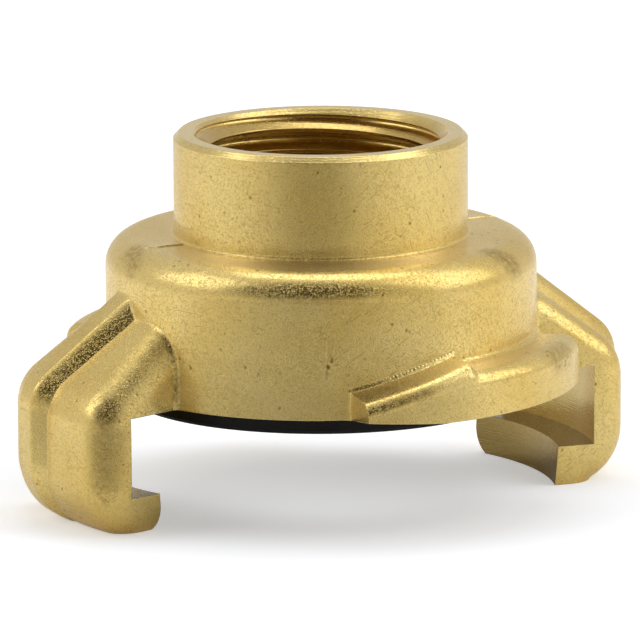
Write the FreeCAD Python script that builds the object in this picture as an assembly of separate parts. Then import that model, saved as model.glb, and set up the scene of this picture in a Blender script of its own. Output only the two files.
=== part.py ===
import FreeCAD, Part
import math
import os

# Claw coupling half with a female pipe thread. All lengths are in millimetres, all angles in
# degrees. The origin lies on the axis of the bore, level with the soles of the two claws; +Z runs
# up the bore, and the claws lie along +X and -X, in the plane where the two forging dies met.

# Neck and thread. The bore is drawn at the crest of the G 1/2 pipe thread, its minor diameter.
NECK_RADIUS = 12.3
NECK_LENGTH = 8.6
NECK_ROOT_FILLET = 0.4
RIM_CHAMFER = 0.45
THREAD_MINOR_RADIUS = 9.32
THREAD_DEPTH = 13.0
MOUTH_RADIUS = 10.7
WATERWAY_RADIUS = 8.0

# Drum, the round body under the neck.
DRUM_RADIUS = 18.05
DRUM_HEIGHT = 12.15
SHOULDER_RADIUS = 2.5

# Seat of the face seal, with the groove that holds the foot of the rubber.
SEAT_WALL = 1.05
SEAT_DEPTH = 3.6
GROOVE_DEPTH = 0.3
GROOVE_HEIGHT = 1.2

# Face seal.
SEAL_CLEARANCE = 0.05
SEAL_PROUD = 1.45
SEAL_INNER_RADIUS = 9.4
SEAL_STEP = 0.2
SEAL_EDGE_CHAMFER = 0.3
SEAL_MOUTH_CHAMFER = 1.0

# Claws. The pocket between the lip and the drum's underside takes the cam flange of the other half.
LIP_THICKNESS = 3.3
LIP_RADIUS = 20.03
LIP_TAPER = 0.3
POCKET_HEIGHT = 6.75
POCKET_CLEARANCE = 1.45
CLAW_WALL = 2.75
CLAW_FOOT_RADIUS = 5.0
CLAW_KNEE_RADIUS = 4.1
SOLE_FACING = 0.5
ARM_HEIGHT = 6.75
ARM_SLOPE = 36.5
ENTRY_FACE_OFFSET = 4.95
ENTRY_FACE_ANGLE = -5.0
ENTRY_EDGE_RADIUS = 2.2
BACK_FACE_OFFSET = 1.4
BACK_FACE_ANGLE = 20.0
BACK_EDGE_RADIUS = 2.9

# Rib down the middle of each claw.
RIB_PROUD = 1.05
RIB_RISE = 1.65
RIB_SLOPE = 38.0
RIB_TOP_WIDTH = 2.5
RIB_FLANK_RUN = 1.3
RIB_FLANK_DROP = 1.5
RIB_EDGE_WIDTH = 0.3
RIB_KNEE_RADIUS = 4.0
RIB_FOOT_RADIUS = 5.8
RIB_FOOT_HEIGHT = 5.4

# Cam flanges: a flat track that the claw of the other half grips, and a ramp with a hump before it.
CAM_WIDTH = 3.65
CAM_THICKNESS = 3.9
CAM_EDGE_RADIUS = 1.3
CAM_START_ANGLE = -81.0
CAM_END_ANGLE = -28.0
CAM_END_RADIUS = 1.8
RAMP_ANGLE = -91.0
RAMP_RUN_BEFORE = 4.9
RAMP_RUN_AFTER = 4.3
RAMP_START = 2.2
RAMP_CREST = 4.68
RAMP_STEP_RUN = 0.85
RAMP_DRAFT = 4.0

# Small concave fillet that the dies leave where a claw or a cam flange meets the drum.
JUNCTION_FILLET = 0.5

CLAW_COUNT = 2

# Heights and radii that follow from the sizes above.
LIP_TOP_Z = LIP_THICKNESS
DRUM_BASE_Z = LIP_TOP_Z + POCKET_HEIGHT
SHOULDER_Z = DRUM_BASE_Z + DRUM_HEIGHT
RIM_Z = SHOULDER_Z + NECK_LENGTH
THREAD_END_Z = RIM_Z - THREAD_DEPTH
SEAT_CEILING_Z = DRUM_BASE_Z + SEAT_DEPTH
SEAT_RADIUS = DRUM_RADIUS - SEAT_WALL
GROOVE_RADIUS = SEAT_RADIUS + GROOVE_DEPTH
CAM_RADIUS = DRUM_RADIUS + CAM_WIDTH
POCKET_RADIUS = CAM_RADIUS + POCKET_CLEARANCE
CLAW_RADIUS = POCKET_RADIUS + CLAW_WALL
RIB_RADIUS = CLAW_RADIUS + RIB_PROUD
RIB_HEIGHT = ARM_HEIGHT + RIB_RISE
# Blanks reach this far into the drum, well past its wall, so that they fuse with it.
ROOT_RADIUS = DRUM_RADIUS - 4.0
# Cutting tools run this far past the metal that they cut.
OVERRUN = 2.0
# The drum's blank starts below the soles, so that each junction with it is a closed loop.
BLANK_BASE_Z = -OVERRUN
# A claw's turned blank reaches this angle to each side, past both end faces of the claw.
BLANK_TURN = 40.0
AXIS = FreeCAD.Vector(0, 0, 1)
ORIGIN = FreeCAD.Vector(0, 0, 0)


def outline_face(corners):
    """Face in the X-Z plane; each corner is (x, z) or (x, z, radius of its tangent arc)."""
    count = len(corners)
    places = [FreeCAD.Vector(corner[0], 0, corner[1]) for corner in corners]
    starts, ends, edges = [], [], []
    for i, corner in enumerate(corners):
        here = places[i]
        back = (places[i - 1] - here).normalize()
        ahead = (places[(i + 1) % count] - here).normalize()
        radius = corner[2] if len(corner) == 3 else 0.0
        if not radius:
            starts.append(here)
            ends.append(here)
            edges.append(None)
            continue
        half = back.getAngle(ahead) / 2.0
        run = radius / math.tan(half)
        middle = (back + ahead).normalize() * (radius / math.sin(half) - radius)
        starts.append(here + back * run)
        ends.append(here + ahead * run)
        edges.append(Part.Arc(starts[i], here + middle, ends[i]).toShape())
    wire = []
    for i in range(count):
        if edges[i]:
            wire.append(edges[i])
        if ends[i].distanceToPoint(starts[(i + 1) % count]) > 1e-6:
            wire.append(Part.LineSegment(ends[i], starts[(i + 1) % count]).toShape())
    return Part.Face(Part.Wire(wire))


def turned(corners, start=0.0, sweep=360.0):
    """Solid turned about the axis from an outline of (radius, height) corners."""
    face = outline_face(corners)
    face.rotate(ORIGIN, AXIS, start)
    return face.revolve(ORIGIN, AXIS, sweep)


def around(solid):
    """The solid and its copies, spaced evenly about the axis."""
    copies = []
    for i in range(CLAW_COUNT):
        copy = solid.copy()
        copy.rotate(ORIGIN, AXIS, i * 360.0 / CLAW_COUNT)
        copies.append(copy)
    return copies


def drum_and_neck():
    """Blank of the round body: drum, rounded shoulder, neck and chamfered rim.

    The tiny rounding at the neck's root is two cones, which take far fewer facets than an arc."""
    root = NECK_ROOT_FILLET * (1.0 - math.sqrt(0.5))
    return turned([
        (0, BLANK_BASE_Z),
        (DRUM_RADIUS, BLANK_BASE_Z),
        (DRUM_RADIUS, SHOULDER_Z, SHOULDER_RADIUS),
        (NECK_RADIUS + NECK_ROOT_FILLET, SHOULDER_Z),
        (NECK_RADIUS + root, SHOULDER_Z + root),
        (NECK_RADIUS, SHOULDER_Z + NECK_ROOT_FILLET),
        (NECK_RADIUS, RIM_Z - RIM_CHAMFER),
        (NECK_RADIUS - RIM_CHAMFER, RIM_Z),
        (0, RIM_Z),
    ])


def hook_outline(radius, height, slope, knee_radius, foot_radius, sole_z):
    """Outside of a claw in section: sloping arm, knee, wall and rounded foot."""
    arm_z = DRUM_BASE_Z + height
    fall = math.tan(math.radians(slope))
    return [
        (ROOT_RADIUS, sole_z),
        (radius, sole_z, foot_radius),
        (radius, arm_z - (radius - DRUM_RADIUS) * fall, knee_radius),
        (ROOT_RADIUS, arm_z + (DRUM_RADIUS - ROOT_RADIUS) * fall),
    ]


def above_soles():
    """Block that holds all there is of the part above the plane of its soles."""
    half = CLAW_RADIUS + 2.0 * OVERRUN
    return Part.makeBox(2.0 * half, 2.0 * half, RIM_Z, FreeCAD.Vector(-half, -half, 0))


def claw_plan():
    """Block between the two end faces of a claw, from below the soles' plane upwards."""
    reach = CLAW_RADIUS + OVERRUN
    near = ROOT_RADIUS - OVERRUN

    def side(x, offset, angle):
        slope = math.radians(angle)
        return FreeCAD.Vector(x, offset / math.cos(slope) + x * math.tan(slope), 0)

    corners = [
        side(near, -ENTRY_FACE_OFFSET, ENTRY_FACE_ANGLE),
        side(reach, -ENTRY_FACE_OFFSET, ENTRY_FACE_ANGLE),
        side(reach, BACK_FACE_OFFSET, BACK_FACE_ANGLE),
        side(near, BACK_FACE_OFFSET, BACK_FACE_ANGLE),
    ]
    face = Part.Face(Part.makePolygon(corners + corners[:1]))
    face.translate(AXIS * -OVERRUN)
    return face.extrude(AXIS * (RIM_Z + OVERRUN))


def edges_on_face(solid, offset, angle):
    """Edges of the claw's outside that lie on the end face with this offset and angle."""
    slope = math.radians(angle)
    normal = FreeCAD.Vector(-math.sin(slope), math.cos(slope), 0)
    found = []
    for edge in solid.Edges:
        points = edge.discretize(5)
        if all(abs(point.dot(normal) - offset) < 1e-4 for point in points):
            found.append(edge)
    return found


def clear_of_root(edges):
    """Those of the edges that don't lie at the root, inside the drum."""
    return [edge for edge in edges
            if any(point.x > ROOT_RADIUS + 1e-3 for point in edge.discretize(5))]


def clear_of_sole(edges):
    """Those of the edges that don't lie in the plane of the soles."""
    return [edge for edge in edges if any(point.z > 1e-4 for point in edge.discretize(5))]


def claw_band():
    """Broad part of a claw, as forged. The sole is faced after the back end is rounded."""
    section = hook_outline(CLAW_RADIUS, ARM_HEIGHT, ARM_SLOPE, CLAW_KNEE_RADIUS,
                           CLAW_FOOT_RADIUS, -SOLE_FACING)
    solid = turned(section, -BLANK_TURN, 2.0 * BLANK_TURN).common(claw_plan())
    back = clear_of_root(edges_on_face(solid, BACK_FACE_OFFSET, BACK_FACE_ANGLE))
    solid = solid.makeFillet(BACK_EDGE_RADIUS, back).common(above_soles())
    entry = clear_of_root(edges_on_face(solid, -ENTRY_FACE_OFFSET, ENTRY_FACE_ANGLE))
    return solid.makeFillet(ENTRY_EDGE_RADIUS, clear_of_sole(entry))


def rib_section(y, drop):
    """Outline of the rib at a distance y from the claw's middle, lowered all round by drop."""
    height = RIB_HEIGHT - drop / math.cos(math.radians(RIB_SLOPE))
    face = outline_face(hook_outline(RIB_RADIUS - drop, height, RIB_SLOPE, RIB_KNEE_RADIUS - drop,
                                     RIB_FOOT_RADIUS, RIB_FOOT_HEIGHT - RIB_FOOT_RADIUS))
    face.translate(FreeCAD.Vector(0, y, 0))
    return face.OuterWire


def claw_rib():
    """Rib over the middle of a claw: a flat crest, a narrow soft edge and sloping flanks."""
    crest = (RIB_TOP_WIDTH - RIB_EDGE_WIDTH) / 2.0
    edge = crest + RIB_EDGE_WIDTH
    edge_drop = RIB_FLANK_DROP * RIB_EDGE_WIDTH / 2.0 / RIB_FLANK_RUN
    base = RIB_TOP_WIDTH / 2.0 + RIB_FLANK_RUN
    solid = Part.makeLoft([
        rib_section(-base, RIB_FLANK_DROP),
        rib_section(-edge, edge_drop),
        rib_section(-crest, 0.0),
        rib_section(crest, 0.0),
        rib_section(edge, edge_drop),
        rib_section(base, RIB_FLANK_DROP),
    ], True, True)
    return solid.common(above_soles())


def cam_track():
    """Flat track of a cam flange, with a rounded corner at its far end."""
    top_z = DRUM_BASE_Z + CAM_THICKNESS
    solid = turned([
        (ROOT_RADIUS, DRUM_BASE_Z),
        (CAM_RADIUS, DRUM_BASE_Z),
        (CAM_RADIUS, top_z),
        (ROOT_RADIUS, top_z),
    ], CAM_START_ANGLE, CAM_END_ANGLE - CAM_START_ANGLE)
    corner = FreeCAD.Rotation(AXIS, CAM_END_ANGLE).multVec(FreeCAD.Vector(CAM_RADIUS, 0, 0))
    upright = [edge for edge in solid.Edges
               if all(math.hypot(point.x - corner.x, point.y - corner.y) < 1e-4
                      for point in edge.discretize(3))]
    return solid.makeFillet(CAM_END_RADIUS, upright)


def cam_ramp():
    """Ramp, hump and step of a cam flange: a prism that falls outwards by its draft."""
    low = -RAMP_START
    step_slope = (RAMP_CREST - CAM_THICKNESS) / RAMP_STEP_RUN
    step_end = RAMP_RUN_AFTER + (RAMP_CREST - RAMP_START) / step_slope
    outline = [
        FreeCAD.Vector(0, -RAMP_RUN_BEFORE, low),
        FreeCAD.Vector(0, -RAMP_RUN_BEFORE, RAMP_START),
        FreeCAD.Vector(0, RAMP_RUN_AFTER, RAMP_CREST),
        FreeCAD.Vector(0, step_end, RAMP_START),
        FreeCAD.Vector(0, step_end, low),
    ]
    face = Part.Face(Part.makePolygon(outline + outline[:1]))
    draft = math.tan(math.radians(RAMP_DRAFT))
    inward = DRUM_RADIUS - ROOT_RADIUS
    face.translate(FreeCAD.Vector(ROOT_RADIUS, 0, DRUM_BASE_Z + inward * draft))
    length = CAM_RADIUS + OVERRUN - ROOT_RADIUS
    prism = face.extrude(FreeCAD.Vector(length, 0, -length * draft))
    disc = Part.makeCylinder(CAM_RADIUS, RIM_Z, FreeCAD.Vector(0, 0, DRUM_BASE_Z), AXIS)
    solid = prism.common(disc)
    solid.rotate(ORIGIN, AXIS, RAMP_ANGLE)
    return solid


def cam_flange():
    """One cam flange: ramp and track in one, with the outer edge of the top rounded."""
    solid = cam_track().fuse(cam_ramp()).removeSplitter()
    rim = []
    for edge in solid.Edges:
        points = edge.discretize(9)
        above = all(point.z > DRUM_BASE_Z + CAM_END_RADIUS / 2.0 for point in points)
        reach = min(math.hypot(point.x, point.y) for point in points[1:-1])
        if above and reach > CAM_RADIUS - CAM_END_RADIUS:
            rim.append(edge)
    return solid.makeFillet(CAM_EDGE_RADIUS, rim)


def pocket_tool():
    """Turning tool's path under the drum: bore between the lips and the undercut above them."""
    bottom_z = BLANK_BASE_Z - OVERRUN
    return turned([
        (0, bottom_z),
        (LIP_RADIUS - LIP_TAPER * (1 - bottom_z / LIP_THICKNESS), bottom_z),
        (LIP_RADIUS, LIP_TOP_Z),
        (POCKET_RADIUS, LIP_TOP_Z),
        (POCKET_RADIUS, DRUM_BASE_Z),
        (0, DRUM_BASE_Z),
    ])


def bore_tool():
    """Inside of the body: thread bore, waterway and the grooved seat of the seal."""
    return turned([
        (0, RIM_Z + OVERRUN),
        (MOUTH_RADIUS + OVERRUN, RIM_Z + OVERRUN),
        (THREAD_MINOR_RADIUS, RIM_Z - (MOUTH_RADIUS - THREAD_MINOR_RADIUS)),
        (THREAD_MINOR_RADIUS, THREAD_END_Z),
        (WATERWAY_RADIUS, THREAD_END_Z),
        (WATERWAY_RADIUS, SEAT_CEILING_Z),
        (GROOVE_RADIUS, SEAT_CEILING_Z),
        (GROOVE_RADIUS, SEAT_CEILING_Z - GROOVE_HEIGHT),
        (SEAT_RADIUS, SEAT_CEILING_Z - GROOVE_HEIGHT),
        (SEAT_RADIUS, DRUM_BASE_Z - OVERRUN),
        (0, DRUM_BASE_Z - OVERRUN),
    ])


def junction_edges(body):
    """Edges where the claws and the cam flanges meet the wall of the drum."""
    found = []
    for edge in body.Edges:
        points = edge.discretize(7)
        on_wall = all(abs(math.hypot(point.x, point.y) - DRUM_RADIUS) < 2e-3 for point in points)
        at_top = all(point.z > SHOULDER_Z - SHOULDER_RADIUS - 1e-3 for point in points)
        at_base = all(point.z < BLANK_BASE_Z + 1e-3 for point in points)
        if on_wall and not at_top and not at_base and len(body.ancestorsOfType(edge, Part.Face)) == 2:
            found.append(edge)
    return found


def coupling_body():
    """The whole forging, fused from its forms and then bored and turned."""
    forms = around(claw_band()) + around(claw_rib()) + around(cam_flange())
    body = drum_and_neck().multiFuse(forms).removeSplitter()
    body = body.makeFillet(JUNCTION_FILLET, junction_edges(body))
    body = body.cut(pocket_tool())
    return body.cut(bore_tool()).removeSplitter()


def face_seal():
    """Rubber ring: a foot in the groove, a body in the seat and a face that stands proud."""
    face_z = DRUM_BASE_Z - SEAL_PROUD
    step_z = DRUM_BASE_Z - SEAL_PROUD / 2.0
    body_radius = SEAT_RADIUS - SEAL_CLEARANCE
    foot_radius = GROOVE_RADIUS - SEAL_CLEARANCE
    foot_z = SEAT_CEILING_Z - GROOVE_HEIGHT + SEAL_CLEARANCE
    return turned([
        (SEAL_INNER_RADIUS, SEAT_CEILING_Z),
        (SEAL_INNER_RADIUS, face_z + SEAL_MOUTH_CHAMFER),
        (SEAL_INNER_RADIUS + SEAL_MOUTH_CHAMFER, face_z),
        (body_radius - SEAL_STEP - SEAL_EDGE_CHAMFER, face_z),
        (body_radius - SEAL_STEP, face_z + SEAL_EDGE_CHAMFER),
        (body_radius - SEAL_STEP, step_z),
        (body_radius, step_z),
        (body_radius, foot_z),
        (foot_radius, foot_z),
        (foot_radius, SEAT_CEILING_Z),
    ])


def main():
    os.makedirs("parts", exist_ok=True)
    nodes = {"coupling_body": coupling_body(), "face_seal": face_seal()}
    for name, shape in nodes.items():
        shape.exportStep("parts/%s.step" % name)
        print(name, "solids", len(shape.Solids), "valid", shape.isValid(),
              "volume mm3 %.1f" % shape.Volume)


main()
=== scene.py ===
# %% [markdown]
# # Dressing a forged brass claw coupling
# The real object is one half of a claw quick coupling for water hoses. A billet of hot brass is
# struck between two dies, the flash is trimmed off, and a lathe then cuts the bore with its pipe
# thread, the seat of the seal and the pockets of the claws. A rubber ring is pushed into the seat.
# The CAD frame holds both pieces. This script gives the brass its cut thread and the marks of its
# forging, and gives both pieces their finish. Blender works in metres; sizes of the part are
# written in millimetres.

# %% Load the frame and keep its box
import math

import bmesh
import bpy
import numpy as np
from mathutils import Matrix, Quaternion, Vector


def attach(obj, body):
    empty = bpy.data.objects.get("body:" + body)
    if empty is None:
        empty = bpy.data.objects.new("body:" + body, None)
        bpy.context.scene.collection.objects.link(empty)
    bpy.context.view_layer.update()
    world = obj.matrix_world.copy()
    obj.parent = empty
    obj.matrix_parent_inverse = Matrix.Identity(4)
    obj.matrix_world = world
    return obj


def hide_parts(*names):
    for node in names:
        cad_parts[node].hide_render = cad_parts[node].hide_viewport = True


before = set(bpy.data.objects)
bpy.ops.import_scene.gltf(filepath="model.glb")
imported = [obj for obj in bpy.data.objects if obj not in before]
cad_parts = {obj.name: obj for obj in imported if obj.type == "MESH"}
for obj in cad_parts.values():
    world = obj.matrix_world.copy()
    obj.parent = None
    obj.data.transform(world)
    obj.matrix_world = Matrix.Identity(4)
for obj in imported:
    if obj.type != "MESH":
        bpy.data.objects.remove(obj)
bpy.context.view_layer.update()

MM = 0.001
scene = bpy.context.scene
scene.view_settings.view_transform = "Standard"

# %% [markdown]
# ## Sizes taken over from the CAD
# The frame gives each node's box, but not the radii and steps inside it. The few that the cells
# below need are named here once, in millimetres, so that the thread and the forging marks land
# exactly on the metal that carries them.

# %% Sizes of the brass body, in millimetres
RIM_Z = 30.8
NECK_RADIUS = 12.3
SHOULDER_Z = 22.2
DRUM_RADIUS = 18.05
DRUM_BASE_Z = 10.05
SHOULDER_RADIUS = 2.5
RIM_CHAMFER = 0.45
CAM_RADIUS = 21.7
LIP_TOP_Z = 3.3
POCKET_RADIUS = 23.15
SEAT_RADIUS = 17.6
THREAD_END_Z = 17.8

# %% [markdown]
# ## The body as a closed surface
# The CAD node comes in as loose triangles. Shading runs smoothly over an edge only where the
# triangles share their corners, so a copy is merged first. The normals that came with the
# triangles no longer fit then, and are dropped. The copy then stands for the node.


# %% Helpers that make meshes
def mesh_piece(name, points, faces):
    """Object from an array of points in millimetres and a list of faces."""
    mesh = bpy.data.meshes.new(name)
    mesh.from_pydata((np.asarray(points) * MM).tolist(), [], faces)
    mesh.update()
    piece = bpy.data.objects.new(name, mesh)
    scene.collection.objects.link(piece)
    return piece


def merged_copy(node, name):
    """Copy of a CAD node with the doubled corners of its triangles merged."""
    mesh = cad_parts[node].data.copy()
    mesh.name = name
    built = bmesh.new()
    built.from_mesh(mesh)
    bmesh.ops.remove_doubles(built, verts=built.verts, dist=1e-7)
    built.to_mesh(mesh)
    built.free()
    for stale in ("custom_normal", "sharp_edge"):
        if stale in mesh.attributes:
            mesh.attributes.remove(mesh.attributes[stale])
    piece = bpy.data.objects.new(name, mesh)
    scene.collection.objects.link(piece)
    print(name, "corners", len(mesh.vertices), "faces", len(mesh.polygons))
    return piece


def skin_grid(rows, columns, close_columns=False):
    """Faces of a grid of points, row by row; a closed one joins its last column to its first."""
    i = np.arange(rows - 1)[:, None]
    j = np.arange(columns if close_columns else columns - 1)[None, :]
    k = (j + 1) % columns
    quads = np.stack([i * columns + j, i * columns + k, (i + 1) * columns + k,
                      (i + 1) * columns + j], axis=-1)
    return quads.reshape(-1, 4).tolist()


brass_body = merged_copy("coupling_body", "brass_body")
rubber_seal = merged_copy("face_seal", "rubber_seal")

# %% [markdown]
# ## The pipe thread
# The neck has a G 1/2 internal thread: 14 turns to the inch, flanks at 55 degrees, right-handed.
# A bump map could fake it, but the mouth of the bore is open to view and the grooves cut through
# its chamfer, so the thread is real geometry. The cutter is a profile carried along a helix, and a
# Boolean takes it out of the body, as the tap does on the real part.

# %% Thread cutter
THREAD_PITCH = 25.4 / 14
THREAD_BELOW_Z = THREAD_END_Z + 0.4
THREAD_ABOVE_Z = RIM_Z + 1.2
STEPS_PER_TURN = 96
START_ANGLE = -125.0
# The groove grows over this many turns, from these shares of its full width and depth.
FADE_TURNS = 1.5
FIRST_WIDTH = 0.02
FIRST_DEPTH = 0.35
# Half the groove's width at each radius: open side first, rounded root last.
GROOVE_HALF_PROFILE = np.array([(8.8, 0.80), (9.25, 0.79), (10.30, 0.23), (10.42, 0.14),
                                (10.478, 0.0)])


def thread_cutter(start_z, end_z):
    """Closed helical band. A point is (r cos t, r sin t, z0 + pitch t / turn + offset), where
    (r, offset) runs round the groove's profile; over the first turns the groove grows from
    almost nothing to its full depth. The start angle puts the groove's end in the mouth where it
    ends in the photograph."""
    half = GROOVE_HALF_PROFILE
    profile = np.vstack([half * (1, -1), half[-2::-1]])
    turns = (end_z - start_z) / THREAD_PITCH
    steps = int(turns * STEPS_PER_TURN) + 1
    turn = np.linspace(0.0, turns, steps)
    angle = 2 * np.pi * turn + np.radians(START_ANGLE)
    grown = np.clip(turn / FADE_TURNS, FIRST_WIDTH, 1.0)[:, None]
    inner = profile[0, 0]
    depth = FIRST_DEPTH + (1 - FIRST_DEPTH) * grown
    radius = inner + (profile[None, :, 0] - inner) * depth
    offset = profile[None, :, 1] * grown
    z = start_z + THREAD_PITCH * turn[:, None] + offset
    points = np.stack([radius * np.cos(angle)[:, None], radius * np.sin(angle)[:, None], z], -1)
    count = len(profile)
    faces = skin_grid(steps, count, close_columns=True)
    faces.append(list(range(count))[::-1])
    faces.append(list(range((steps - 1) * count, steps * count)))
    print("thread: turns %.1f, pitch %.3f mm, faces %d" % (turns, THREAD_PITCH, len(faces)))
    return mesh_piece("thread_cutter", points.reshape(-1, 3), faces)


def outward(piece):
    """Turns every face of a closed mesh outwards."""
    built = bmesh.new()
    built.from_mesh(piece.data)
    bmesh.ops.recalc_face_normals(built, faces=built.faces)
    built.to_mesh(piece.data)
    built.free()


def combine(body, tool, operation):
    """Takes the tool out of the body, or adds it, and removes the tool. A tool whose own parts
    cross each other can empty the body, so the result is counted."""
    outward(tool)
    step = body.modifiers.new("combine", "BOOLEAN")
    step.operation = operation
    step.solver = "EXACT"
    step.object = tool
    seen = body.evaluated_get(bpy.context.evaluated_depsgraph_get())
    made = bpy.data.meshes.new_from_object(seen)
    body.modifiers.remove(step)
    before = len(body.data.polygons)
    if len(made.polygons) < before:
        raise RuntimeError("the Boolean with %s lost faces of the body" % tool.name)
    body.data = made
    bpy.data.objects.remove(tool)
    print(operation.lower(), "faces", before, "->", len(made.polygons))


combine(brass_body, thread_cutter(THREAD_BELOW_Z, THREAD_ABOVE_Z), "DIFFERENCE")

# %% [markdown]
# ## The lap of the forging
# The two dies met in the plane of the claws. Brass that squeezed out there was trimmed and then
# struck flat, which leaves a lap on the shoulder: a step of a tenth of a millimetre on one side of
# the plane that runs out to nothing on the other. It is a thin closed sheet, sunk into the metal
# and joined to it, and its upper side follows the shoulder, so that it needs no fitting.

# %% Laps on the shoulder
LAP_HEIGHT = 0.11
LAP_WIDTH = 1.7
LAP_SINK = 0.4
LAP_WANDER = 0.045
LAP_WAVES = 3.1
# Where each lap leaves the neck and where it has run out, in x.
LAPS = ((-12.45, -16.2), (12.45, 16.6))
# A Boolean goes wrong where two faces lie in each other, so they are kept this far apart.
APART = 0.012


def shoulder_height(radius):
    """Height of the shoulder: level, then a quarter circle down to the drum's wall."""
    past = np.clip(radius - (DRUM_RADIUS - SHOULDER_RADIUS), 0, SHOULDER_RADIUS)
    return SHOULDER_Z - SHOULDER_RADIUS + np.sqrt(SHOULDER_RADIUS ** 2 - past ** 2)


def lap_sheet(start_x, end_x, stations=26, across=6):
    """Closed sheet over x from start to end. With t from 0 to 1 across and s from 0 to 1 along,
    y is t LAP_WIDTH + LAP_WANDER sin(LAP_WAVES x) (1 - t) and the upper side is
    shoulder_height + LAP_HEIGHT (1 - t) fade(s) - APART; fade is 1 near the neck and 0 at the
    outer end."""
    s = np.linspace(0, 1, stations)[:, None]
    t = np.linspace(0, 1, across)[None, :]
    x = start_x + (end_x - start_x) * s + 0 * t
    y = LAP_WIDTH * t + LAP_WANDER * np.sin(LAP_WAVES * x) * (1 - t)
    fade = np.sqrt(np.clip(1 - s ** 2, 0, 1))
    surface = shoulder_height(np.hypot(x, y))
    upper = np.stack([x, y, surface + LAP_HEIGHT * (1 - t) * fade - APART], axis=-1)
    lower = np.stack([x, y, surface - LAP_SINK], axis=-1)[:, ::-1]
    points = np.concatenate([upper, lower], axis=1)
    count = 2 * across
    faces = skin_grid(stations, count, close_columns=True)
    faces.append(list(range(count)))
    faces.append(list(range((stations - 1) * count, stations * count))[::-1])
    return mesh_piece("lap_sheet", points.reshape(-1, 3), faces)


for lap in LAPS:
    combine(brass_body, lap_sheet(*lap), "UNION")

# %% [markdown]
# ## Nicks and tool marks
# The photograph shows a few real marks that a texture would not place: a nick down the drum over
# the end of the ramp with a shorter one beside it, a split beside the left lap, and a row of fine
# notches where the trimming tool chattered. Each is a V-shaped stroke; one array holds all the
# strokes of a group.

# %% Strokes
STROKE_LIFT = 0.02
# Where a stroke's fade starts on its half wave, and the power that keeps its middle full.
STROKE_TIP = 0.04
STROKE_FULLNESS = 0.6
# Nicks on the drum: start (degrees, height), run (degrees, height), bow in degrees, width, depth.
NICKS = (((-111.3, 16.7), (-1.5, -2.3), 0.25, 0.24, 0.13),
         ((-113.3, 15.75), (0.7, -0.5), 0.0, 0.12, 0.06))
NICK_WAVES = 5
# The split in the level shoulder.
SPLIT_START = (-13.7, 3.4, SHOULDER_Z)
SPLIT_RUN = (-0.6, -3.2, 0.0)
SPLIT_WIDTH, SPLIT_DEPTH = 0.14, 0.05


def on_drum(degrees, height):
    """Points and outward normals on the drum's wall, at angles in degrees and heights in mm."""
    angle = np.radians(np.asarray(degrees, float))
    normal = np.stack([np.cos(angle), np.sin(angle), 0 * angle], axis=-1)
    place = normal * DRUM_RADIUS
    place[..., 2] = height
    return place, normal


def cut_strokes(place, normal, width, depth):
    """Cuts strokes given as arrays (stroke, station, xyz). A section is a triangle with its tip
    at depth * fade under the surface and its flanks as steep as 2 depth / width; fade falls
    from 1 in the middle of a stroke to almost nothing at its ends."""
    strokes, stations = place.shape[:2]
    along = np.gradient(place, axis=1)
    side = np.cross(along, normal)
    side /= np.linalg.norm(side, axis=2)[..., None]
    wave = np.sin(np.linspace(STROKE_TIP, 1 - STROKE_TIP, stations) * np.pi)
    fade = wave[None, :, None] ** STROKE_FULLNESS
    half = width / 2 * (fade + STROKE_LIFT / depth)
    points = np.stack([place - normal * depth * fade, place + normal * STROKE_LIFT + side * half,
                       place + normal * STROKE_LIFT - side * half], axis=2)
    grid = np.array(skin_grid(stations, 3, close_columns=True))
    first = (np.arange(strokes) * stations * 3)[:, None, None]
    faces = (grid[None] + first).reshape(-1, 4).tolist()
    last = stations * 3 - 3
    faces += (first[:, :, 0] + np.array([0, 1, 2])).tolist()
    faces += (first[:, :, 0] + np.array([last + 2, last + 1, last])).tolist()
    combine(brass_body, mesh_piece("strokes", points.reshape(-1, 3), faces), "DIFFERENCE")


def notch_row(start, end, count, half_stroke, width, depth):
    """A row of strokes on the drum's wall between two places (degrees, height); each runs
    half_stroke (degrees, height) to either side of its place."""
    share = np.linspace(0, 1, count)[:, None]
    reach = np.linspace(-1, 1, 5)[None, :]
    degrees = start[0] + (end[0] - start[0]) * share + half_stroke[0] * reach
    height = start[1] + (end[1] - start[1]) * share + half_stroke[1] * reach
    cut_strokes(*on_drum(degrees, height), width, depth)


part = np.linspace(0, 1, 9)[None, :]
for start, run, bow, width, depth in NICKS:
    degrees = start[0] + run[0] * part + bow * np.sin(NICK_WAVES * part)
    cut_strokes(*on_drum(degrees, start[1] + run[1] * part), width, depth)
split = np.array(SPLIT_START) + np.linspace(0, 1, 7)[None, :, None] * np.array(SPLIT_RUN)
cut_strokes(split, np.broadcast_to([0.0, 0.0, 1.0], split.shape), SPLIT_WIDTH, SPLIT_DEPTH)
notch_row(start=(-96.0, 13.42), end=(-77.4, 15.02), count=19, half_stroke=(0.05, 0.2),
          width=0.14, depth=0.035)

# %% [markdown]
# ## The worn edge under the ramp
# At its low end the ramp's lower edge is not square: its underside climbs outwards by almost half
# a millimetre, and the slope runs out halfway along the ramp.

# %% Cut under the ramp
WEAR_RISE = 0.47
WEAR_START_X, WEAR_END_X = -5.0, 1.5
# The cutter goes on past the worn part: its far end in x, its sides in -y, its foot, and how far
# each of its two slopes goes on.
BLOCK_END_X = -7.2
BLOCK_INNER_Y, BLOCK_OUTER_Y = 15.0, 23.5
BLOCK_FOOT_Z = 9.0
U_LIMIT, V_LIMIT = 1.1, 1.4


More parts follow.
